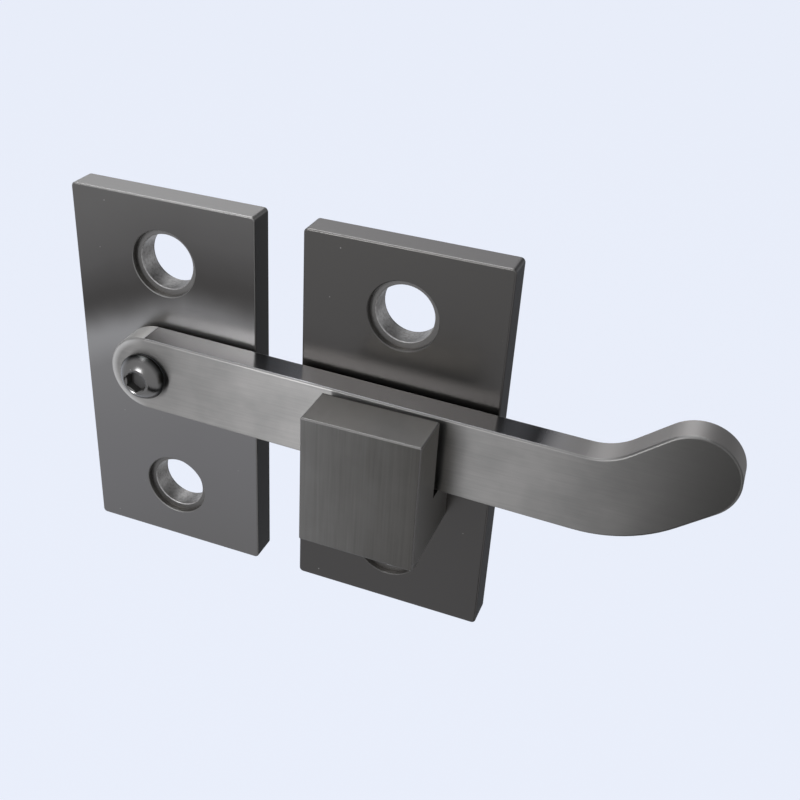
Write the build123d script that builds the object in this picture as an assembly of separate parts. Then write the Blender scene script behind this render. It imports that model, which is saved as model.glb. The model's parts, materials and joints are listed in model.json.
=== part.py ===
from build123d import *
import os
from math import acos, atan2, cos, degrees, hypot, radians, sin, sqrt

# Gate latch: a swinging arm on one plate drops into an open slot on a second plate.
# X runs from the latch plate to the keeper plate, Y goes back into the post and the gate, Z is up.
# The origin is on the back of the latch plate, midway between its two fixing holes.
# All sizes are in millimetres, and angles are in degrees.

# Plates, both cut from the same flat bar
plate_width = 40.0
plate_height = 80.0
plate_thickness = 6.0
plate_corner_radius = 0.9
plate_edge_radius = 0.35
plate_gap = 10.0

# Fixing holes, two in a line up each plate, each with a shallow counterbore
fixing_hole_radius = 5.75
fixing_hole_spacing = 53.0
counterbore_radius = 7.0
counterbore_depth = 1.35
hole_edge_break = 0.15

# Pivot place, from the middle of the latch plate
pivot_x = -1.2
pivot_z = 5.1

# Arm, a flat bar with half-round ends, bent upwards for a handle, measured from its pivot
arm_height = 16.0
arm_thickness = 6.0
arm_edge_radius = 0.45
bend_start = 88.5
bend_inner_radius = 11.0
bend_angle = 40.4
handle_straight = 7.6

# Pivot screw, a button head with a hexagon socket
pivot_screw_diameter = 6.0
pivot_head_diameter = 9.8
pivot_head_height = 3.0
pivot_head_rim = 0.5
pivot_head_flat_diameter = 5.2
pivot_socket_width = 4.0
pivot_socket_depth = 1.9
pivot_socket_chamfer = 0.25
pivot_screw_end_gap = 0.8
pivot_screw_end_chamfer = 0.7

# Washers in front of the arm and behind it
rear_washer_diameter = 12.0
rear_washer_thickness = 1.0
front_washer_diameter = 9.2
front_washer_thickness = 0.8

# Keeper block, with an open slot between its front wall and the keeper plate
keeper_width = 23.0
keeper_depth = 19.0
keeper_wall = 9.5
keeper_base_height = 10.4
keeper_slot_depth = 16.8
keeper_floor_z = -4.3
keeper_edge_radius = 0.35

# Two countersunk screws, driven from behind, hold the keeper block
keeper_screw_diameter = 5.0
keeper_screw_length = 16.0
keeper_screw_spacing = 12.0
keeper_head_diameter = 9.2
keeper_head_recess = 0.2
keeper_socket_width = 3.0
keeper_socket_depth = 1.6
keeper_socket_chamfer = 0.2
keeper_drill_run_out = 1.5
keeper_screw_end_chamfer = 0.6

# Clearances
pivot_fit = 0.06
arm_side_play = 0.05
arm_rest_gap = 0.03
thread_clearance = 0.03
washer_bore_clearance = 0.1
keeper_screw_hole_clearance = 0.25
countersink_clearance = 0.03

# Places worked out from the sizes above
keeper_plate_x = plate_width + plate_gap
plate_front_y = -plate_thickness
arm_back_y = plate_front_y - rear_washer_thickness - arm_side_play
arm_front_y = arm_back_y - arm_thickness
front_washer_back_y = arm_front_y - arm_side_play
pivot_head_seat_y = front_washer_back_y - front_washer_thickness
keeper_bottom_z = keeper_floor_z - keeper_base_height
keeper_height = keeper_base_height + keeper_slot_depth
keeper_screw_z = keeper_bottom_z + keeper_base_height / 2
pivot_screw_radius = pivot_screw_diameter / 2
keeper_screw_radius = keeper_screw_diameter / 2


def facing_front(x, y, z):
    """A plane at a point, with its normal pointing out of the front of the latch."""
    return Plane(origin=(x, y, z), x_dir=(1, 0, 0), z_dir=(0, -1, 0))


def facing_back(x, y, z):
    """A plane at a point, with its normal pointing into the post or the gate."""
    return Plane(origin=(x, y, z), x_dir=(-1, 0, 0), z_dir=(0, 1, 0))


def on_circle(centre, radius, angle):
    """The point of a circle at an angle."""
    return (centre[0] + radius * cos(radians(angle)), centre[1] + radius * sin(radians(angle)))


def rest_drop():
    """The angle that the arm drops from level until its lower edge meets the slot's far end."""
    reach = keeper_plate_x + keeper_width / 2 - pivot_x
    fall = pivot_z - keeper_floor_z - arm_rest_gap
    return degrees(acos(arm_height / 2 / hypot(reach, fall)) - atan2(reach, fall))


def make_fixing_hole():
    """What a fixing hole takes away, measured down from the plate's front: a bore under a counterbore."""
    ledge = -counterbore_depth
    with BuildPart() as hole:
        with BuildSketch(Plane.XZ):
            with BuildLine():
                Polyline(
                    (0, hole_edge_break), (0, -plate_thickness * 2), (fixing_hole_radius, -plate_thickness * 2),
                    (fixing_hole_radius, ledge - hole_edge_break), (fixing_hole_radius + hole_edge_break, ledge),
                    (counterbore_radius, ledge), (counterbore_radius, -hole_edge_break),
                    (counterbore_radius + hole_edge_break * 2, hole_edge_break), close=True)
            make_face()
        revolve(axis=Axis.Z)
    return hole.part


def make_plate(centre_x):
    """A flat plate with rounded corners, softened edges and two fixing holes."""
    with BuildPart() as plate:
        with BuildSketch(facing_front(centre_x, 0, 0)):
            RectangleRounded(plate_width, plate_height, plate_corner_radius)
        extrude(amount=plate_thickness)
        fillet(plate.faces().filter_by(Axis.Y).edges(), plate_edge_radius)
        for z in (-fixing_hole_spacing / 2, fixing_hole_spacing / 2):
            add(facing_front(centre_x, plate_front_y, z) * make_fixing_hole(), mode=Mode.SUBTRACT)
    return plate.part


def make_latch_plate():
    """The plate on the post, tapped through for the pivot screw."""
    with BuildPart() as plate:
        add(make_plate(0))
        with Locations(facing_front(pivot_x, plate_front_y, pivot_z)):
            Hole(pivot_screw_radius + thread_clearance)
    return plate.part


def keeper_screw_places():
    """The x of the two keeper screws, left and right of the middle of the keeper plate."""
    left = keeper_plate_x - keeper_screw_spacing / 2
    right = keeper_plate_x + keeper_screw_spacing / 2
    return left, right


def make_keeper_plate():
    """The plate on the gate, countersunk from behind for the two keeper screws."""
    mouth_radius = keeper_head_diameter / 2 + keeper_head_recess + countersink_clearance * sqrt(2)
    with BuildPart() as plate:
        add(make_plate(keeper_plate_x))
        for x in keeper_screw_places():
            with Locations(facing_back(x, 0, keeper_screw_z)):
                CounterSinkHole(
                    keeper_screw_radius + keeper_screw_hole_clearance, mouth_radius, counter_sink_angle=90)
    return plate.part


def make_keeper_block():
    """A solid block with a slot cut down from its top, tapped from behind in its base."""
    slot_width = keeper_depth - keeper_wall
    hole_depth = keeper_screw_length + keeper_head_recess + keeper_drill_run_out - plate_thickness
    with BuildPart() as block:
        with Locations((keeper_plate_x, plate_front_y, keeper_bottom_z)):
            Box(keeper_width, keeper_depth, keeper_height, align=(Align.CENTER, Align.MAX, Align.MIN))
        back = block.faces().sort_by(Axis.Y)[-1]
        fillet(ShapeList(set(block.edges()) - set(back.edges())), keeper_edge_radius)
        with Locations((keeper_plate_x, plate_front_y, keeper_floor_z)):
            Box(
                keeper_width * 2, slot_width * 2, keeper_slot_depth * 2,
                align=(Align.CENTER, Align.CENTER, Align.MIN), mode=Mode.SUBTRACT)
        for x in keeper_screw_places():
            with Locations(facing_back(x, plate_front_y, keeper_screw_z)):
                Hole(keeper_screw_radius + thread_clearance, depth=hole_depth)
    return block.part


def make_arm():
    """The swinging arm, lying in the slot, with the bore that turns on the pivot screw."""
    drop = radians(rest_drop())
    half = arm_height / 2
    back = Plane(origin=(pivot_x, arm_back_y, pivot_z), x_dir=(cos(drop), 0, -sin(drop)), z_dir=(0, -1, 0))
    # Both edges of the bar turn about one centre, run on straight, and end in a half-round tip
    centre = (bend_start, half + bend_inner_radius)
    outer_radius = bend_inner_radius + arm_height
    outward = bend_angle - 90
    lower_flank = on_circle(centre, outer_radius, outward)
    upper_flank = on_circle(centre, bend_inner_radius, outward)
    lower_end = on_circle(lower_flank, handle_straight, bend_angle)
    upper_end = on_circle(upper_flank, handle_straight, bend_angle)
    tip = on_circle(lower_end, half, outward + 180)
    with BuildPart() as arm:
        with BuildSketch(back):
            with BuildLine():
                CenterArc((0, 0), half, 90, 180)
                Line((0, -half), (bend_start, -half))
                CenterArc(centre, outer_radius, -90, bend_angle)
                Line(lower_flank, lower_end)
                CenterArc(tip, half, outward, 180)
                Line(upper_end, upper_flank)
                CenterArc(centre, bend_inner_radius, outward, -bend_angle)
                Line((bend_start, half), (0, half))
            make_face()
        extrude(amount=arm_thickness)
        fillet(arm.faces().filter_by(Axis.Y).edges(), arm_edge_radius)
        with Locations(facing_front(pivot_x, arm_front_y, pivot_z)):
            Hole(pivot_screw_radius + pivot_fit)
    return arm.part


def make_washer(front_y, diameter, thickness):
    """A flat washer on the pivot screw, with its front at front_y."""
    with BuildPart() as washer:
        Cylinder(diameter / 2, thickness, align=(Align.CENTER, Align.CENTER, Align.MAX))
        Cylinder(pivot_screw_radius + washer_bore_clearance, thickness * 3, mode=Mode.SUBTRACT)
    return facing_front(pivot_x, front_y, pivot_z) * washer.part


def make_socket(width, depth, top, chamfer):
    """The hollow of a hexagon socket with a chamfered mouth, reaching down from the top of a screw head."""
    corner_radius = width / sqrt(3)
    with BuildPart() as socket:
        with BuildSketch(Plane.XY.offset(top - depth)):
            RegularPolygon(corner_radius, 6, rotation=30)
        extrude(amount=depth + chamfer)
        with Locations((0, 0, top)):
            Cone(corner_radius - chamfer, corner_radius + chamfer, chamfer * 2)
    return socket.part


def make_pivot_screw():
    """The button-head screw that the arm turns on, screwed into the latch plate."""
    head_radius = pivot_head_diameter / 2
    flat_radius = pivot_head_flat_diameter / 2
    length = -pivot_head_seat_y - pivot_screw_end_gap
    # The dome is part of a ball whose centre lies on the axis, through the rim and the flat top
    ball_z = (flat_radius**2 + pivot_head_height**2 - head_radius**2 - pivot_head_rim**2) / 2
    ball_z = ball_z / (pivot_head_height - pivot_head_rim)
    ball_radius = hypot(head_radius, pivot_head_rim - ball_z)
    rim_angle = degrees(atan2(pivot_head_rim - ball_z, head_radius))
    flat_angle = degrees(atan2(pivot_head_height - ball_z, flat_radius))
    with BuildPart() as screw:
        with BuildSketch(Plane.XZ):
            with BuildLine():
                Polyline(
                    (0, pivot_head_height), (0, -length),
                    (pivot_screw_radius - pivot_screw_end_chamfer, -length),
                    (pivot_screw_radius, pivot_screw_end_chamfer - length),
                    (pivot_screw_radius, 0), (head_radius, 0), (head_radius, pivot_head_rim))
                CenterArc((0, ball_z), ball_radius, rim_angle, flat_angle - rim_angle)
                Line((flat_radius, pivot_head_height), (0, pivot_head_height))
            make_face()
        revolve(axis=Axis.Z)
        add(
            make_socket(pivot_socket_width, pivot_socket_depth, pivot_head_height, pivot_socket_chamfer),
            mode=Mode.SUBTRACT)
    return facing_front(pivot_x, pivot_head_seat_y, pivot_z) * screw.part


def make_keeper_screw(x):
    """A countersunk screw through the keeper plate into the base of the keeper block."""
    head_radius = keeper_head_diameter / 2
    head_height = head_radius - keeper_screw_radius
    with BuildPart() as screw:
        with BuildSketch(Plane.XZ):
            with BuildLine():
                Polyline(
                    (0, 0), (head_radius, 0), (keeper_screw_radius, -head_height),
                    (keeper_screw_radius, keeper_screw_end_chamfer - keeper_screw_length),
                    (keeper_screw_radius - keeper_screw_end_chamfer, -keeper_screw_length),
                    (0, -keeper_screw_length), close=True)
            make_face()
        revolve(axis=Axis.Z)
        add(make_socket(keeper_socket_width, keeper_socket_depth, 0, keeper_socket_chamfer), mode=Mode.SUBTRACT)
    return facing_back(x, -keeper_head_recess, keeper_screw_z) * screw.part


screw_left_x, screw_right_x = keeper_screw_places()
nodes = {
    "latch_plate": make_latch_plate(),
    "rear_washer": make_washer(plate_front_y - rear_washer_thickness, rear_washer_diameter, rear_washer_thickness),
    "latch_arm": make_arm(),
    "front_washer": make_washer(pivot_head_seat_y, front_washer_diameter, front_washer_thickness),
    "pivot_screw": make_pivot_screw(),
    "keeper_plate": make_keeper_plate(),
    "keeper_block": make_keeper_block(),
    "keeper_screw_left": make_keeper_screw(screw_left_x),
    "keeper_screw_right": make_keeper_screw(screw_right_x),
}

os.makedirs("parts", exist_ok=True)
for name, node in nodes.items():
    node.label = name
    export_step(node, f"parts/{name}.step")
print(f"arm at rest: {rest_drop():.3f} degrees below level")
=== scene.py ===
import json
import math
import bmesh
import bpy
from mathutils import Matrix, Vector


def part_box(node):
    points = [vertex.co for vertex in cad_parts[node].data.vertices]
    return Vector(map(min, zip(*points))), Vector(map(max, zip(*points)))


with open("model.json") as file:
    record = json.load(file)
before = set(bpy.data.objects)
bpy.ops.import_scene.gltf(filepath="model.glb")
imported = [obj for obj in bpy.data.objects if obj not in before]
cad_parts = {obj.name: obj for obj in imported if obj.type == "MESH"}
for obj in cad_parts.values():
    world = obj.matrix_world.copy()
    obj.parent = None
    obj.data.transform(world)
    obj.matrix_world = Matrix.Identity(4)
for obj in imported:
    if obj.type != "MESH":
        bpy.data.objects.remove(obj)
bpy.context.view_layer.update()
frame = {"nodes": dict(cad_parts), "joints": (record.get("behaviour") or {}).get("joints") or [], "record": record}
MM = 0.001

# Places that the finishes follow, from the frame, in millimetres
pivot = Vector(frame["joints"][0]["pos_m"]) / MM
hole_spacing = frame["record"]["mounts"][0]["dims"]["spacing_y_mm"]
plate_front_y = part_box("latch_plate")[0].y / MM
latch_plate_x = (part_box("latch_plate")[0].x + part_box("latch_plate")[1].x) / 2 / MM
keeper_plate_x = (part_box("keeper_plate")[0].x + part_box("keeper_plate")[1].x) / 2 / MM
keeper_left_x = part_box("keeper_block")[0].x / MM
keeper_right_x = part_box("keeper_block")[1].x / MM
keeper_front_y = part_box("keeper_block")[0].y / MM
screw_top_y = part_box("pivot_screw")[0].y / MM

# Sizes that the finishes follow, in millimetres
counterbore_radius = 7.0
counterbore_depth = 1.35
keeper_wall = 9.5
arm_half_height = 8.0
handle_start_x = 87.0
socket_corner_radius = 2.31
socket_lip_width = 0.5
socket_lip_depth = 0.4

# The camera stands where the photograph was taken from: its place in millimetres, its turn in degrees
image_width = 800
optical_centre = (365, 386)
focal_pixels = 1097.4
camera_place = (107.74, -174.69, 116.70)
camera_turn = (59.437, -2.301, 22.258)

# Colours, as they look on the object. The steels are a little warm, because the light is a little cool
backdrop_pale = "#E9EEFA"
room_dark = "#505257"
drilled_grey = "#B0ACA5"
drilled_dark_grey = "#8A8680"
counterbore_floor_grey = "#6A6762"
counterbore_wall_shade_grey = "#2E2C29"
dust_grey = "#9A968F"
arm_grey = "#8B8780"
arm_streak_grey = "#78756F"
arm_edge_grey = "#7A7771"
arm_handle_shade_grey = "#65625C"
arm_nose_highlight_grey = "#A9A59D"
arm_nose_rim_highlight_grey = "#BFBBB3"
arm_side_grey = "#8A8886"
arm_bend_deep_shade_grey = "#5A5856"
arm_bend_shade_grey = "#625F5B"
arm_handle_side_grey = "#7F7B75"
keeper_grey = "#78756F"
keeper_streak_grey = "#6B6862"
keeper_right_shade = "#CBC9C6"
keeper_side_grey = "#8A867F"
keeper_top_grey = "#74716B"
keeper_edge_grey = "#6B6863"
keeper_slot_shade_grey = "#2A2825"
polished_grey = "#6E6B66"
screw_side_shade_grey = "#262624"
screw_socket_grey = "#5C5A56"
turned_grey = "#7C7974"
nylon_black = "#121212"

# The two plates. Each band of a face has its height in millimetres, where it is level, and its colour.
# A drop is how far the bands fall towards the plate's left edge
# On the latch plate the bands paint reflection and shade: a light band above the arm, a dark band over it
plate_looks = {
    "latch": {
        "centre_x": latch_plate_x, "side_shade_grey": "#3C3A36", "sawn_end_lit_grey": "#9C9891", "edge_grey": "#7C7973",
        "band_drop": 10.7,
        "bands": [(-44, "#6A6762"), (-18, "#767370"), (8.4, "#7A7772"), (14.9, "#9E9B96"), (18.2, "#7A7772"),
                  (21, "#55524E"), (23.7, "#45423E"), (27, "#4A4743"), (32.5, "#595652"), (46, "#65625D")]},
    "keeper": {
        "centre_x": keeper_plate_x, "side_shade_grey": "#42403C", "sawn_end_lit_grey": "#84807A", "edge_grey": "#5A5752",
        "band_drop": 0,
        "bands": [(-44, "#4F4C48"), (10, "#504D49"), (44, "#53504B")]}}

# Each band of the arm's narrow sides: its place along X, in millimetres, and its colour
# They paint a highlight on the round nose and shade round the bend towards the handle
arm_side_bands = [(-9.2, arm_nose_highlight_grey), (-1.3, arm_nose_highlight_grey), (-1.1, arm_side_grey), (74, arm_side_grey),
                  (78, arm_bend_deep_shade_grey), (84, arm_bend_shade_grey), (93, arm_handle_side_grey),
                  (113.6, arm_handle_side_grey)]

# Widths of the patterns, in millimetres
plate_cloud = 22
plate_grain = 0.4
drill_speckle = 0.6
dust_spacing = 3.5
arm_line = 0.35
arm_cloud = 10
keeper_line = 0.4
keeper_cloud = 9
turned_mark = 1.5
nylon_grain = 0.4

# How squarely a surface faces one way, where a mask starts and where it is full
square_on = (0.75, 0.95)
worn_edge_turn = (0.97, 0.85)
keeper_edge_turn = (0.98, 0.9)
arm_side_turn = (0.45, 0.2)
screw_side_turn = (0.62, 0.46)

# Inputs and outputs of a Mix node that mixes colours
MIX_A = 6
MIX_B = 7
MIX_RESULT = 2


def linear(hex_colour):
    """Turns an sRGB hex colour into the linear colour that a shader takes."""
    channels = [int(hex_colour[i:i + 2], 16) / 255 for i in (1, 3, 5)]
    return (*[c / 12.92 if c <= 0.04045 else ((c + 0.055) / 1.055) ** 2.4 for c in channels], 1)


def per_mm(size):
    """Scale of a pattern on metres whose features repeat every so many millimetres."""
    return 1 / (size * MM)


def add_node(tree, kind, inputs=None, **settings):
    """Adds a node with its settings, and gives each input a value or links it to (node, output)."""
    node = tree.nodes.new("ShaderNode" + kind)
    for name, value in settings.items():
        setattr(node, name, value)
    for name, value in (inputs or {}).items():
        if isinstance(value, tuple) and isinstance(value[0], bpy.types.Node):
            tree.links.new(value[0].outputs[value[1]], node.inputs[name])
        else:
            node.inputs[name].default_value = value
    return node


def new_material(name):
    """An empty material, returned with its node tree."""
    material = bpy.data.materials.new(name)
    material.use_nodes = True
    material.node_tree.nodes.clear()
    return material, material.node_tree


def dress(node, material):
    """Gives a node of the frame its finish."""
    for slot in frame["nodes"][node].material_slots:
        slot.material = material


def object_normal(tree):
    """The three parts of the surface's direction, as the piece itself has it, all positive."""
    normal = add_node(tree, "NewGeometry")
    own = add_node(tree, "VectorTransform", {"Vector": (normal, "Normal")}, vector_type="NORMAL",
                   convert_from="WORLD", convert_to="OBJECT")
    absolute = add_node(tree, "VectorMath", {0: (own, "Vector")}, operation="ABSOLUTE")
    return add_node(tree, "SeparateXYZ", {"Vector": (absolute, "Vector")})


def worn_edges(tree, facing, turn):
    """A mask of the edges, which face no one way."""
    wider = add_node(tree, "Math", {0: (facing, "X"), 1: (facing, "Y")}, operation="MAXIMUM")
    widest = add_node(tree, "Math", {0: (wider, "Value"), 1: (facing, "Z")}, operation="MAXIMUM")
    return add_node(tree, "MapRange", {"Value": (widest, "Value"), "From Min": turn[0], "From Max": turn[1]})


def pivot_distance(tree, place):
    """Distance from the axis that the arm turns on."""
    centred = add_node(tree, "Mapping", {"Vector": (place, "Object"),
                                         "Location": (-pivot.x * MM, 0, -pivot.z * MM)})
    from_axis = add_node(tree, "VectorMath", {0: (centred, "Vector"), 1: (1, 0, 1)}, operation="MULTIPLY")
    return add_node(tree, "VectorMath", {0: (from_axis, "Vector")}, operation="LENGTH")


def painted(tree, colour, layers):
    """A colour with others laid over it in turn, each a hex colour or a node's output, where its mask is."""
    for mask, over in layers:
        above = linear(over) if isinstance(over, str) else over
        mixed = add_node(tree, "Mix", {0: mask, MIX_A: colour, MIX_B: above}, data_type="RGBA")
        colour = (mixed, MIX_RESULT)
    return colour


def banded(tree, position, bands, interpolation):
    """The colour at a position in metres that crosses bands, each of which has its place in millimetres."""
    first, last = bands[0][0], bands[-1][0]
    share = add_node(tree, "MapRange", {"Value": position, "From Min": first * MM, "From Max": last * MM})
    colour = add_node(tree, "ValToRGB", {"Fac": (share, "Result")})
    colour.color_ramp.interpolation = interpolation
    stops = colour.color_ramp.elements
    stops[0].color = linear(bands[0][1])
    stops[1].color = linear(bands[-1][1])
    for place, grey in bands[1:-1]:
        stops.new((place - first) / (last - first)).color = linear(grey)
    return colour


def plate_face_colour(tree, spot, clouds, bands, band_drop):
    """Soft bands of painted reflection and shade that run level across the right of the plate and drop towards its
    left edge. The clouds make them wander by 5 mm."""
    drop_from_x, drop_to_x, wander_by = 4, -20, 2.5
    drop = add_node(tree, "MapRange", {"Value": (spot, "X"), "From Min": drop_to_x * MM,
                                       "From Max": drop_from_x * MM, "To Min": band_drop * MM, "To Max": 0})
    wander = add_node(tree, "MapRange", {"Value": (clouds, "Fac"), "To Min": -wander_by * MM,
                                         "To Max": wander_by * MM})
    level = add_node(tree, "Math", {0: (spot, "Z"), 1: (drop, "Result")}, operation="ADD")
    height = add_node(tree, "Math", {0: (level, "Value"), 1: (wander, "Result")}, operation="ADD")
    return banded(tree, (height, "Value"), bands, "B_SPLINE")


def plate_hole_masks(tree, spot):
    """Masks of what is in a plate's holes, and of the counterbores' walls alone."""
    rim_blend, face_blend = (0.06, -0.1), (0.1, 0.3)
    back_blend, ledge_blend = (-0.1, -0.3), (0, -0.15)
    rise = add_node(tree, "Math", {0: (spot, "Z")}, operation="ABSOLUTE")
    above_hole = add_node(tree, "Math", {0: (rise, "Value"), 1: hole_spacing / 2 * MM}, operation="SUBTRACT")
    from_hole = add_node(tree, "CombineXYZ", {"X": (spot, "X"), "Z": (above_hole, "Value")})
    distance = add_node(tree, "VectorMath", {0: (from_hole, "Vector")}, operation="LENGTH")
    near_hole = add_node(tree, "MapRange", {"Value": (distance, "Value"),
                                            "From Min": (counterbore_radius + rim_blend[0]) * MM,
                                            "From Max": (counterbore_radius + rim_blend[1]) * MM})
    below_face = add_node(tree, "MapRange", {"Value": (spot, "Y"),
                                             "From Min": (plate_front_y + face_blend[0]) * MM,
                                             "From Max": (plate_front_y + face_blend[1]) * MM})
    before_back = add_node(tree, "MapRange", {"Value": (spot, "Y"), "From Min": back_blend[0] * MM,
                                              "From Max": back_blend[1] * MM})
    inside = add_node(tree, "Math", {0: (below_face, "Result"), 1: (before_back, "Result")},
                      operation="MULTIPLY")
    in_hole = add_node(tree, "Math", {0: (near_hole, "Result"), 1: (inside, "Value")}, operation="MULTIPLY")
    ledge_y = plate_front_y + counterbore_depth
    above_ledge = add_node(tree, "MapRange", {"Value": (spot, "Y"),
                                              "From Min": (ledge_y + ledge_blend[0]) * MM,
                                              "From Max": (ledge_y + ledge_blend[1]) * MM})
    on_wall = add_node(tree, "Math", {0: (in_hole, "Value"), 1: (above_ledge, "Result")},
                       operation="MULTIPLY")
    return in_hole, on_wall


def drilled_colour(tree, centred, ledge):
    """Speckled drill marks on a hole's walls, and the plain floor of its counterbore."""
    speckle_range = (0.42, 0.7)
    speckle = add_node(tree, "TexNoise", {"Vector": (centred, "Vector"), "Scale": per_mm(drill_speckle),
                                          "Detail": 4.0, "Roughness": 0.7})
    speckled = add_node(tree, "MapRange", {"Value": (speckle, "Fac"), "From Min": speckle_range[0],
                                           "From Max": speckle_range[1]})
    return painted(tree, linear(drilled_grey), [((speckled, "Result"), drilled_dark_grey),
                                                ((ledge, "Result"), counterbore_floor_grey)])


def dust_mask(tree, centred, clouds):
    """A few specks of dust where the clouds are thick, at most one in each cell of the pattern."""
    speck_range, thick_range = (0.045, 0.03), (0.5, 0.62)
    spread = add_node(tree, "TexVoronoi", {"Vector": (centred, "Vector"), "Scale": per_mm(dust_spacing)})
    speck = add_node(tree, "MapRange", {"Value": (spread, "Distance"), "From Min": speck_range[0],
                                        "From Max": speck_range[1]})
    dusty = add_node(tree, "MapRange", {"Value": (clouds, "Fac"), "From Min": thick_range[0],
                                        "From Max": thick_range[1]})
    return add_node(tree, "Math", {0: (speck, "Result"), 1: (dusty, "Result")}, operation="MULTIPLY")


def satin_plate_steel(name, centre_x, bands, band_drop, side_shade_grey, sawn_end_lit_grey, edge_grey):
    """Ground stainless flat bar. Its face is dark and satin, in soft bands of painted reflection and shade. The
    sides are painted darker as shade, the sawn ends lighter, partly as painted light from above, and both are as
    rough as the worn edges."""
    face_rough, cut_rough, hole_rough = (0.28, 0.33), 0.52, 0.5
    face_bump, cut_bump, hole_bump, bump_depth = 0.004, 0.2, 0.3, 0.04
    material, tree = new_material(name)
    place = add_node(tree, "TexCoord")
    centred = add_node(tree, "Mapping", {"Vector": (place, "Object"), "Location": (-centre_x * MM, 0, 0)})
    spot = add_node(tree, "SeparateXYZ", {"Vector": (centred, "Vector")})
    clouds = add_node(tree, "TexNoise", {"Vector": (centred, "Vector"), "Scale": per_mm(plate_cloud),
                                         "Detail": 3.0, "Roughness": 0.55})
    facing = object_normal(tree)
    side, ledge, end = [add_node(tree, "MapRange", {"Value": (facing, axis), "From Min": square_on[0],
                                                    "From Max": square_on[1]}) for axis in "XYZ"]
    # The edges are rough with wear, and their lighter colour is a painted highlight along them
    worn = worn_edges(tree, facing, worn_edge_turn)
    # The counterbores' walls are painted near black, as shade in the recess
    in_hole, on_wall = plate_hole_masks(tree, spot)
    dust = dust_mask(tree, centred, clouds)
    face_colour = plate_face_colour(tree, spot, clouds, bands, band_drop)
    # The sides are painted shade and the ends partly painted light, over the face's painted bands
    colour = painted(tree, (face_colour, "Color"), [
        ((side, "Result"), side_shade_grey), ((end, "Result"), sawn_end_lit_grey), ((worn, "Result"), edge_grey),
        ((in_hole, "Value"), drilled_colour(tree, centred, ledge)),
        ((on_wall, "Value"), counterbore_wall_shade_grey), ((dust, "Value"), dust_grey)])
    # The face is the smoothest. The cut sides, the worn edges and the drilled walls are rougher
    cut = add_node(tree, "Math", {0: (side, "Result"), 1: (end, "Result")}, operation="MAXIMUM")
    cut_or_worn = add_node(tree, "Math", {0: (cut, "Value"), 1: (worn, "Result")}, operation="MAXIMUM")
    satin = add_node(tree, "MapRange", {"Value": (clouds, "Fac"), "To Min": face_rough[0],
                                        "To Max": face_rough[1]})
    outer_rough = add_node(tree, "Mix", {0: (cut_or_worn, "Value"), 2: (satin, "Result"), 3: cut_rough})
    rough = add_node(tree, "Mix", {0: (in_hole, "Value"), 2: (outer_rough, 0), 3: hole_rough})
    # Grinding grain, drawn coarser than the real grit
    grain = add_node(tree, "TexNoise", {"Vector": (centred, "Vector"), "Scale": per_mm(plate_grain),
                                        "Detail": 2.0})
    outer_bump = add_node(tree, "Mix", {0: (cut, "Value"), 2: face_bump, 3: cut_bump})
    strength = add_node(tree, "Mix", {0: (in_hole, "Value"), 2: (outer_bump, 0), 3: hole_bump})
    bump = add_node(tree, "Bump", {"Height": (grain, "Fac"), "Strength": (strength, 0),
                                   "Distance": bump_depth * MM})
    steel = add_node(tree, "BsdfPrincipled", {"Base Color": colour, "Metallic": 1.0,
                                              "Roughness": (rough, 0), "Normal": (bump, "Normal")})
    add_node(tree, "OutputMaterial", {"Surface": (steel, "BSDF")})
    return material


def belt_lines(tree, place, stretch, line, cloud, blotch_share, grey, streak_grey):
    """Lines left by a belt, and softer blotches across them. Gives the lines, the clouds and the colour."""
    streak_range, blotch_range = (0.3, 0.7), (0.35, 0.65)
    lines = add_node(tree, "Mapping", {"Vector": (place, "Object"), "Scale": stretch})
    # The lines are drawn coarser than the real 0.1 mm, so that they show
    grit = add_node(tree, "TexNoise", {"Vector": (lines, "Vector"), "Scale": per_mm(line), "Detail": 3.0})
    clouds = add_node(tree, "TexNoise", {"Vector": (place, "Object"), "Scale": per_mm(cloud), "Detail": 3.0})
    streak = add_node(tree, "MapRange", {"Value": (grit, "Fac"), "From Min": streak_range[0],
                                         "From Max": streak_range[1]})
    blotch = add_node(tree, "MapRange", {"Value": (clouds, "Fac"), "From Min": blotch_range[0],
                                         "From Max": blotch_range[1]})
    uneven = add_node(tree, "Mix", {0: blotch_share, 2: (streak, "Result"), 3: (blotch, "Result")})
    return grit, clouds, painted(tree, linear(grey), [((uneven, 0), streak_grey)])


def brushed_surface(tree, colour, rough, grit, grit_bump, along, spread):
    """Steel whose fine lines run along one way of the piece, and which spreads reflections across them."""
    grit_depth = 0.05
    bump = add_node(tree, "Bump", {"Height": (grit, "Fac"), "Strength": grit_bump,
                                   "Distance": grit_depth * MM})
    lines_run = add_node(tree, "VectorTransform", {"Vector": along}, vector_type="VECTOR",
                         convert_from="OBJECT", convert_to="WORLD")
    steel = add_node(tree, "BsdfPrincipled", {"Base Color": colour, "Metallic": 1.0, "Roughness": rough,
                                              "Anisotropic": spread, "Anisotropic Rotation": 0.25,
                                              "Normal": (bump, "Normal"), "Tangent": (lines_run, "Vector")})
    add_node(tree, "OutputMaterial", {"Surface": (steel, "BSDF")})


def nose_rim_mask(tree, place, spot):
    """The rim of the nose's face, where a highlight is painted, more so towards its edge and away from the rest of
    the arm.
    """
    rim_blend, past_screw_blend = (-1.6, -0.2), (0, -4)
    distance = pivot_distance(tree, place)
    near_rim = add_node(tree, "MapRange", {"Value": (distance, "Value"),
                                           "From Min": (arm_half_height + rim_blend[0]) * MM,
                                           "From Max": (arm_half_height + rim_blend[1]) * MM})
    past_screw = add_node(tree, "MapRange", {"Value": (spot, "X"),
                                             "From Min": (pivot.x + past_screw_blend[0]) * MM,
                                             "From Max": (pivot.x + past_screw_blend[1]) * MM})
    return add_node(tree, "Math", {0: (near_rim, "Result"), 1: (past_screw, "Result")}, operation="MULTIPLY")


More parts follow.
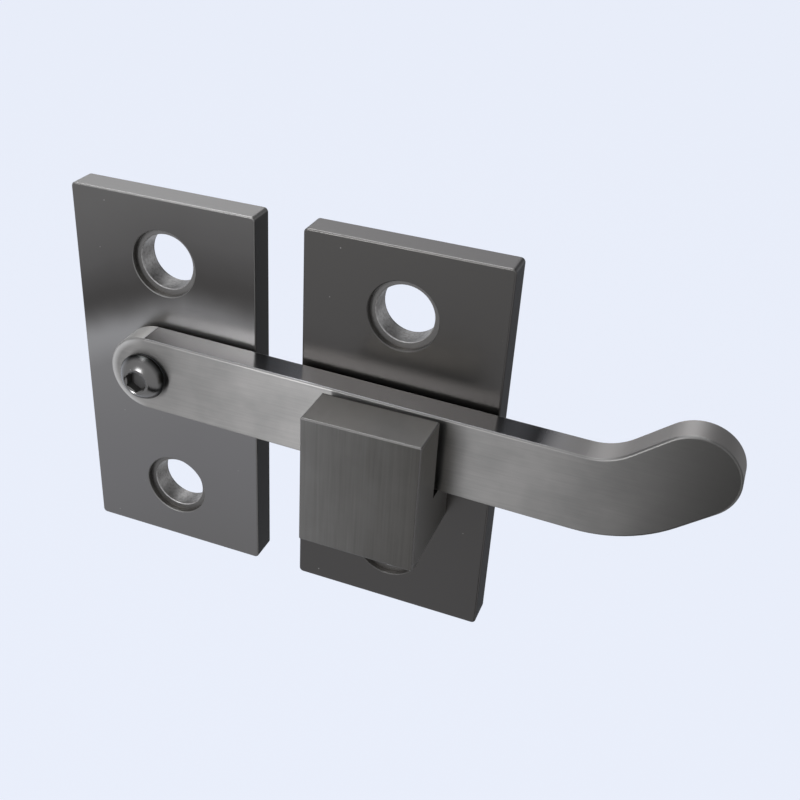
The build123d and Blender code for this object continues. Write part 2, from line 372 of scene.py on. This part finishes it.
def brushed_arm_steel():
    """Stainless bar brushed lengthwise with a belt: the face spreads reflections up and down across its
    fine lines. The narrow sides are smoother, but ground dull round both ends."""
    face_rough, edge_rough, side_rough, end_rough = (0.34, 0.38), 0.7, 0.18, 0.75
    pivot_blend, handle_blend, tip_shade_blend = (0.1, -0.1), (-9, -1), (-3, 25)
    material, tree = new_material("arm steel brushed lengthwise")
    place = add_node(tree, "TexCoord")
    spot = add_node(tree, "SeparateXYZ", {"Vector": (place, "Object")})
    grit, clouds, brushed = belt_lines(tree, place, stretch=(1 / 25, 1, 1), line=arm_line, cloud=arm_cloud,
                                       blotch_share=0.7, grey=arm_grey, streak_grey=arm_streak_grey)
    facing = object_normal(tree)
    narrow = add_node(tree, "MapRange", {"Value": (facing, "Y"), "From Min": arm_side_turn[0],
                                         "From Max": arm_side_turn[1]})
    # The edges are rough with wear, and painted darker than the face to dim their highlight
    worn = add_node(tree, "MapRange", {"Value": (facing, "Y"), "From Min": worn_edge_turn[0],
                                       "From Max": worn_edge_turn[1]})
    beyond_pivot = add_node(tree, "MapRange", {"Value": (spot, "X"),
                                               "From Min": (pivot.x + pivot_blend[0]) * MM,
                                               "From Max": (pivot.x + pivot_blend[1]) * MM})
    on_handle = add_node(tree, "MapRange", {"Value": (spot, "X"),
                                            "From Min": (handle_start_x + handle_blend[0]) * MM,
                                            "From Max": (handle_start_x + handle_blend[1]) * MM})
    at_end = add_node(tree, "Math", {0: (beyond_pivot, "Result"), 1: (on_handle, "Result")},
                      operation="MAXIMUM")
    end = add_node(tree, "Math", {0: (narrow, "Result"), 1: (at_end, "Value")}, operation="MULTIPLY")
    # Painted shade darkens the handle's face towards its tip
    tip_shade = add_node(tree, "MapRange", {"Value": (spot, "X"),
                                          "From Min": (handle_start_x + tip_shade_blend[0]) * MM,
                                          "From Max": (handle_start_x + tip_shade_blend[1]) * MM})
    # A highlight is painted on the nose's rim
    painted_rim_light = nose_rim_mask(tree, place, spot)
    side_colour = banded(tree, (spot, "X"), arm_side_bands, "LINEAR")
    colour = painted(tree, brushed, [
        ((tip_shade, "Result"), arm_handle_shade_grey), ((worn, "Result"), arm_edge_grey),
        ((painted_rim_light, "Value"), arm_nose_rim_highlight_grey), ((narrow, "Result"), (side_colour, "Color"))])
    satin = add_node(tree, "MapRange", {"Value": (clouds, "Fac"), "To Min": face_rough[0],
                                        "To Max": face_rough[1]})
    rough = (satin, "Result")
    for mask, roughness in (((worn, "Result"), edge_rough), ((narrow, "Result"), side_rough),
                            ((end, "Value"), end_rough)):
        rough = (add_node(tree, "Mix", {0: mask, 2: rough, 3: roughness}), 0)
    brushed_surface(tree, colour, rough, grit, grit_bump=0.03, along=(1.0, 0.0, 0.0), spread=0.85)
    return material


def brushed_keeper_steel():
    """Stainless block brushed upright: fine upright lines, and reflections spread sideways across them."""
    face_rough, edge_rough = (0.36, 0.44), 0.62
    wall_blend = (-0.3, -0.1)
    material, tree = new_material("keeper steel brushed upright")
    place = add_node(tree, "TexCoord")
    spot = add_node(tree, "SeparateXYZ", {"Vector": (place, "Object")})
    grit, clouds, brushed = belt_lines(tree, place, stretch=(1, 1, 1 / 40), line=keeper_line,
                                       cloud=keeper_cloud, blotch_share=0.4, grey=keeper_grey,
                                       streak_grey=keeper_streak_grey)
    # Painted shade darkens the front towards its right edge
    right_shade_share = add_node(tree, "MapRange", {"Value": (spot, "X"), "From Min": keeper_left_x * MM,
                                       "From Max": keeper_right_x * MM})
    front_colour = add_node(tree, "Mix", {0: (right_shade_share, "Result"), MIX_A: brushed,
                                          MIX_B: linear(keeper_right_shade)},
                            data_type="RGBA", blend_type="MULTIPLY")
    facing = object_normal(tree)
    side, top = [add_node(tree, "MapRange", {"Value": (facing, axis), "From Min": square_on[0],
                                             "From Max": square_on[1]}) for axis in "XZ"]
    # The edges are rough with wear, and painted darker than the face to dim their highlight
    worn = worn_edges(tree, facing, keeper_edge_turn)
    # The milled slot is painted dark, as shade: all that is behind the front wall, apart from the block's sides
    slot_front_y = keeper_front_y + keeper_wall
    behind_wall = add_node(tree, "MapRange", {"Value": (spot, "Y"),
                                              "From Min": (slot_front_y + wall_blend[0]) * MM,
                                              "From Max": (slot_front_y + wall_blend[1]) * MM})
    not_side = add_node(tree, "Math", {0: 1.0, 1: (side, "Result")}, operation="SUBTRACT")
    in_slot = add_node(tree, "Math", {0: (behind_wall, "Result"), 1: (not_side, "Value")},
                       operation="MULTIPLY")
    colour = painted(tree, (front_colour, MIX_RESULT), [
        ((side, "Result"), keeper_side_grey), ((top, "Result"), keeper_top_grey),
        ((worn, "Result"), keeper_edge_grey), ((in_slot, "Value"), keeper_slot_shade_grey)])
    satin = add_node(tree, "MapRange", {"Value": (clouds, "Fac"), "To Min": face_rough[0],
                                        "To Max": face_rough[1]})
    rough = add_node(tree, "Mix", {0: (worn, "Result"), 2: (satin, "Result"), 3: edge_rough})
    brushed_surface(tree, colour, (rough, 0), grit, grit_bump=0.04, along=(0.0, 0.0, 1.0), spread=0.5)
    return material


def button_head_steel():
    """Polished screw steel. The head's round side is painted dark, as shade, the socket has a turned lip, and
    inside it is dull."""
    head_rough, socket_rough, lip_bump = (0.2, 0.26), 0.6, 0.8
    top_blend, corner_blend = (0.2, 0.35), (0.1, 0)
    material, tree = new_material("polished screw steel")
    place = add_node(tree, "TexCoord")
    spot = add_node(tree, "SeparateXYZ", {"Vector": (place, "Object")})
    distance = pivot_distance(tree, place)
    # The lip slopes into the socket
    lip = add_node(tree, "MapRange", {"Value": (distance, "Value"), "From Min": socket_corner_radius * MM,
                                      "From Max": (socket_corner_radius + socket_lip_width) * MM})
    bump = add_node(tree, "Bump", {"Height": (lip, "Result"), "Strength": lip_bump,
                                   "Distance": socket_lip_depth * MM})
    facing = object_normal(tree)
    on_side = add_node(tree, "MapRange", {"Value": (facing, "Y"), "From Min": screw_side_turn[0],
                                          "From Max": screw_side_turn[1]})
    below_top = add_node(tree, "MapRange", {"Value": (spot, "Y"),
                                            "From Min": (screw_top_y + top_blend[0]) * MM,
                                            "From Max": (screw_top_y + top_blend[1]) * MM})
    near_axis = add_node(tree, "MapRange", {"Value": (distance, "Value"),
                                            "From Min": (socket_corner_radius + corner_blend[0]) * MM,
                                            "From Max": (socket_corner_radius + corner_blend[1]) * MM})
    in_socket = add_node(tree, "Math", {0: (below_top, "Result"), 1: (near_axis, "Result")},
                         operation="MULTIPLY")
    # The head's round side is painted dark, as shade
    colour = painted(tree, linear(polished_grey), [((on_side, "Result"), screw_side_shade_grey),
                                                   ((in_socket, "Value"), screw_socket_grey)])
    marks = add_node(tree, "TexNoise", {"Vector": (place, "Object"), "Scale": per_mm(turned_mark),
                                        "Detail": 3.0})
    polish = add_node(tree, "MapRange", {"Value": (marks, "Fac"), "To Min": head_rough[0],
                                         "To Max": head_rough[1]})
    rough = add_node(tree, "Mix", {0: (in_socket, "Value"), 2: (polish, "Result"), 3: socket_rough})
    steel = add_node(tree, "BsdfPrincipled", {"Base Color": colour, "Metallic": 1.0,
                                              "Roughness": (rough, 0), "Normal": (bump, "Normal")})
    add_node(tree, "OutputMaterial", {"Surface": (steel, "BSDF")})
    return material


def turned_screw_steel(name):
    """Turned screw steel of an even grey, with faint marks in its shine."""
    turned_rough = (0.24, 0.36)
    material, tree = new_material(name)
    place = add_node(tree, "TexCoord")
    marks = add_node(tree, "TexNoise", {"Vector": (place, "Object"), "Scale": per_mm(turned_mark),
                                        "Detail": 3.0})
    shine = add_node(tree, "MapRange", {"Value": (marks, "Fac"), "To Min": turned_rough[0],
                                        "To Max": turned_rough[1]})
    steel = add_node(tree, "BsdfPrincipled", {"Base Color": linear(turned_grey), "Metallic": 1.0,
                                              "Roughness": (shine, "Result")})
    add_node(tree, "OutputMaterial", {"Surface": (steel, "BSDF")})
    return material


def moulded_nylon():
    """Black moulded nylon: dull, with a fine grain."""
    nylon_rough, grain_bump, grain_depth = 0.6, 0.2, 0.02
    material, tree = new_material("moulded black nylon")
    place = add_node(tree, "TexCoord")
    grain = add_node(tree, "TexNoise", {"Vector": (place, "Object"), "Scale": per_mm(nylon_grain),
                                        "Detail": 2.0})
    bump = add_node(tree, "Bump", {"Height": (grain, "Fac"), "Strength": grain_bump,
                                   "Distance": grain_depth * MM})
    plastic = add_node(tree, "BsdfPrincipled", {"Base Color": linear(nylon_black), "Roughness": nylon_rough,
                                                "IOR": 1.53, "Normal": (bump, "Normal")})
    add_node(tree, "OutputMaterial", {"Surface": (plastic, "BSDF")})
    return material


# The finishes go on the frame's own nodes
for plate, look in plate_looks.items():
    dress(plate + "_plate", satin_plate_steel(plate + " plate steel", **look))
dress("latch_arm", brushed_arm_steel())
dress("keeper_block", brushed_keeper_steel())
dress("pivot_screw", button_head_steel())
for side in ("left", "right"):
    dress("keeper_screw_" + side, turned_screw_steel("turned screw steel " + side))
black_nylon = moulded_nylon()
dress("rear_washer", black_nylon)
dress("front_washer", black_nylon)

# The studio, in millimetres: the floor and the cards lie flat below the latch, and the lamps face it
floor_z = -250
floor_width = 40000
card_z = floor_z + 1
# Each card: the middle of it in X and Y, its size in X and Y, and its colour
grey_cards = {"front right card": ((142, -700), (120, 1400), "#242528"),
              "back right card": ((550, 450), (900, 900), "#8A8C92")}
# Each lamp: its place, its width and height, and its power in watts
lamps = {"overhead lamp": ((-150, 120, 700), (450, 450), 6),
         "left front lamp": ((-168, -550, 130), (80, 260), 1.45),
         "upper front lamp": ((-125, -590, 330), (270, 170), 1.6)}


def flat_sheet(name, centre, size, material):
    """A flat sheet of the studio that faces up."""
    bm = bmesh.new()
    bmesh.ops.create_grid(bm, x_segments=1, y_segments=1, size=0.5)
    bmesh.ops.scale(bm, vec=(size[0] * MM, size[1] * MM, 1), verts=bm.verts)
    bmesh.ops.translate(bm, vec=Vector(centre) * MM, verts=bm.verts)
    mesh = bpy.data.meshes.new(name)
    bm.to_mesh(mesh)
    bm.free()
    mesh.materials.append(material)
    sheet = bpy.data.objects.new(name, mesh)
    bpy.context.collection.objects.link(sheet)
    return sheet


def pale_paper():
    """Pale paper: the camera and the metal see little but its plain colour, and it keeps a soft shadow."""
    plain_share = 0.98
    material, tree = new_material("pale paper")
    seen_by = add_node(tree, "LightPath")
    camera_or_gloss = add_node(tree, "Math", {0: (seen_by, "Is Camera Ray"), 1: (seen_by, "Is Glossy Ray")},
                               operation="MAXIMUM")
    plain_seen = add_node(tree, "Math", {0: (camera_or_gloss, "Value"), 1: (seen_by, "Is Transmission Ray")},
                          operation="MAXIMUM")
    share = add_node(tree, "Math", {0: (plain_seen, "Value"), 1: plain_share}, operation="MULTIPLY")
    lit = add_node(tree, "BsdfDiffuse", {"Color": linear(backdrop_pale)})
    plain = add_node(tree, "Emission", {"Color": linear(backdrop_pale), "Strength": 1.0})
    paper = add_node(tree, "MixShader", {0: (share, "Value"), 1: (lit, "BSDF"), 2: (plain, "Emission")})
    add_node(tree, "OutputMaterial", {"Surface": (paper, "Shader")})
    return material


def grey_card(name, middle, size, grey):
    """A grey card that only the metal's reflections see, as a studio uses to shape them."""
    material, tree = new_material(name)
    shade = add_node(tree, "Emission", {"Color": linear(grey), "Strength": 1.0})
    add_node(tree, "OutputMaterial", {"Surface": (shade, "Emission")})
    card = flat_sheet(name, (*middle, card_z), size, material)
    card.visible_camera = False
    card.visible_diffuse = False
    card.visible_shadow = False


def studio_lamp(name, centre, size, watts):
    """A soft oblong lamp that faces the frame's origin."""
    lamp = bpy.data.lights.new(name, "AREA")
    lamp.shape = "RECTANGLE"
    lamp.size = size[0] * MM
    lamp.size_y = size[1] * MM
    lamp.energy = watts
    lamp.color = linear(backdrop_pale)[:3]
    holder = bpy.data.objects.new(name, lamp)
    holder.location = Vector(centre) * MM
    holder.rotation_euler = (-Vector(centre)).to_track_quat("-Z", "Y").to_euler()
    bpy.context.collection.objects.link(holder)


def studio_world():
    """Even room light, pale in front and near the horizon, and darker in the upper back. The camera sees it
    plain and pale."""
    overhead_range, behind_range = (0.05, 0.35), (-0.2, 0.2)
    world = bpy.data.worlds.new("studio")
    world.use_nodes = True
    tree = world.node_tree
    tree.nodes.clear()
    place = add_node(tree, "TexCoord")
    direction = add_node(tree, "SeparateXYZ", {"Vector": (place, "Generated")})
    overhead = add_node(tree, "MapRange", {"Value": (direction, "Z"), "From Min": overhead_range[0],
                                           "From Max": overhead_range[1]})
    behind = add_node(tree, "MapRange", {"Value": (direction, "Y"), "From Min": behind_range[0],
                                         "From Max": behind_range[1]})
    upper_back = add_node(tree, "Math", {0: (overhead, "Result"), 1: (behind, "Result")},
                          operation="MULTIPLY")
    seen_by = add_node(tree, "LightPath")
    seen = painted(tree, linear(backdrop_pale), [((upper_back, "Value"), room_dark),
                                                 ((seen_by, "Is Camera Ray"), backdrop_pale)])
    light = add_node(tree, "Background", {"Color": seen, "Strength": 1.0})
    add_node(tree, "OutputWorld", {"Surface": (light, "Background")})
    bpy.context.scene.world = world


def photograph_camera():
    """The camera at the photograph's viewing angle."""
    camera = bpy.data.cameras.new("camera")
    camera.sensor_width = 36
    camera.lens = focal_pixels * camera.sensor_width / image_width
    camera.shift_x = (image_width / 2 - optical_centre[0]) / image_width
    camera.shift_y = (optical_centre[1] - image_width / 2) / image_width
    camera.clip_start = 10 * MM
    camera.clip_end = 100
    holder = bpy.data.objects.new("camera", camera)
    holder.location = Vector(camera_place) * MM
    holder.rotation_euler = [math.radians(angle) for angle in camera_turn]
    bpy.context.collection.objects.link(holder)
    bpy.context.scene.camera = holder


flat_sheet("floor", (0, 0, floor_z), (floor_width, floor_width), pale_paper())
for name, card in grey_cards.items():
    grey_card(name, *card)
for name, lamp in lamps.items():
    studio_lamp(name, *lamp)
studio_world()
photograph_camera()

bpy.context.scene.view_settings.view_transform = "Standard"
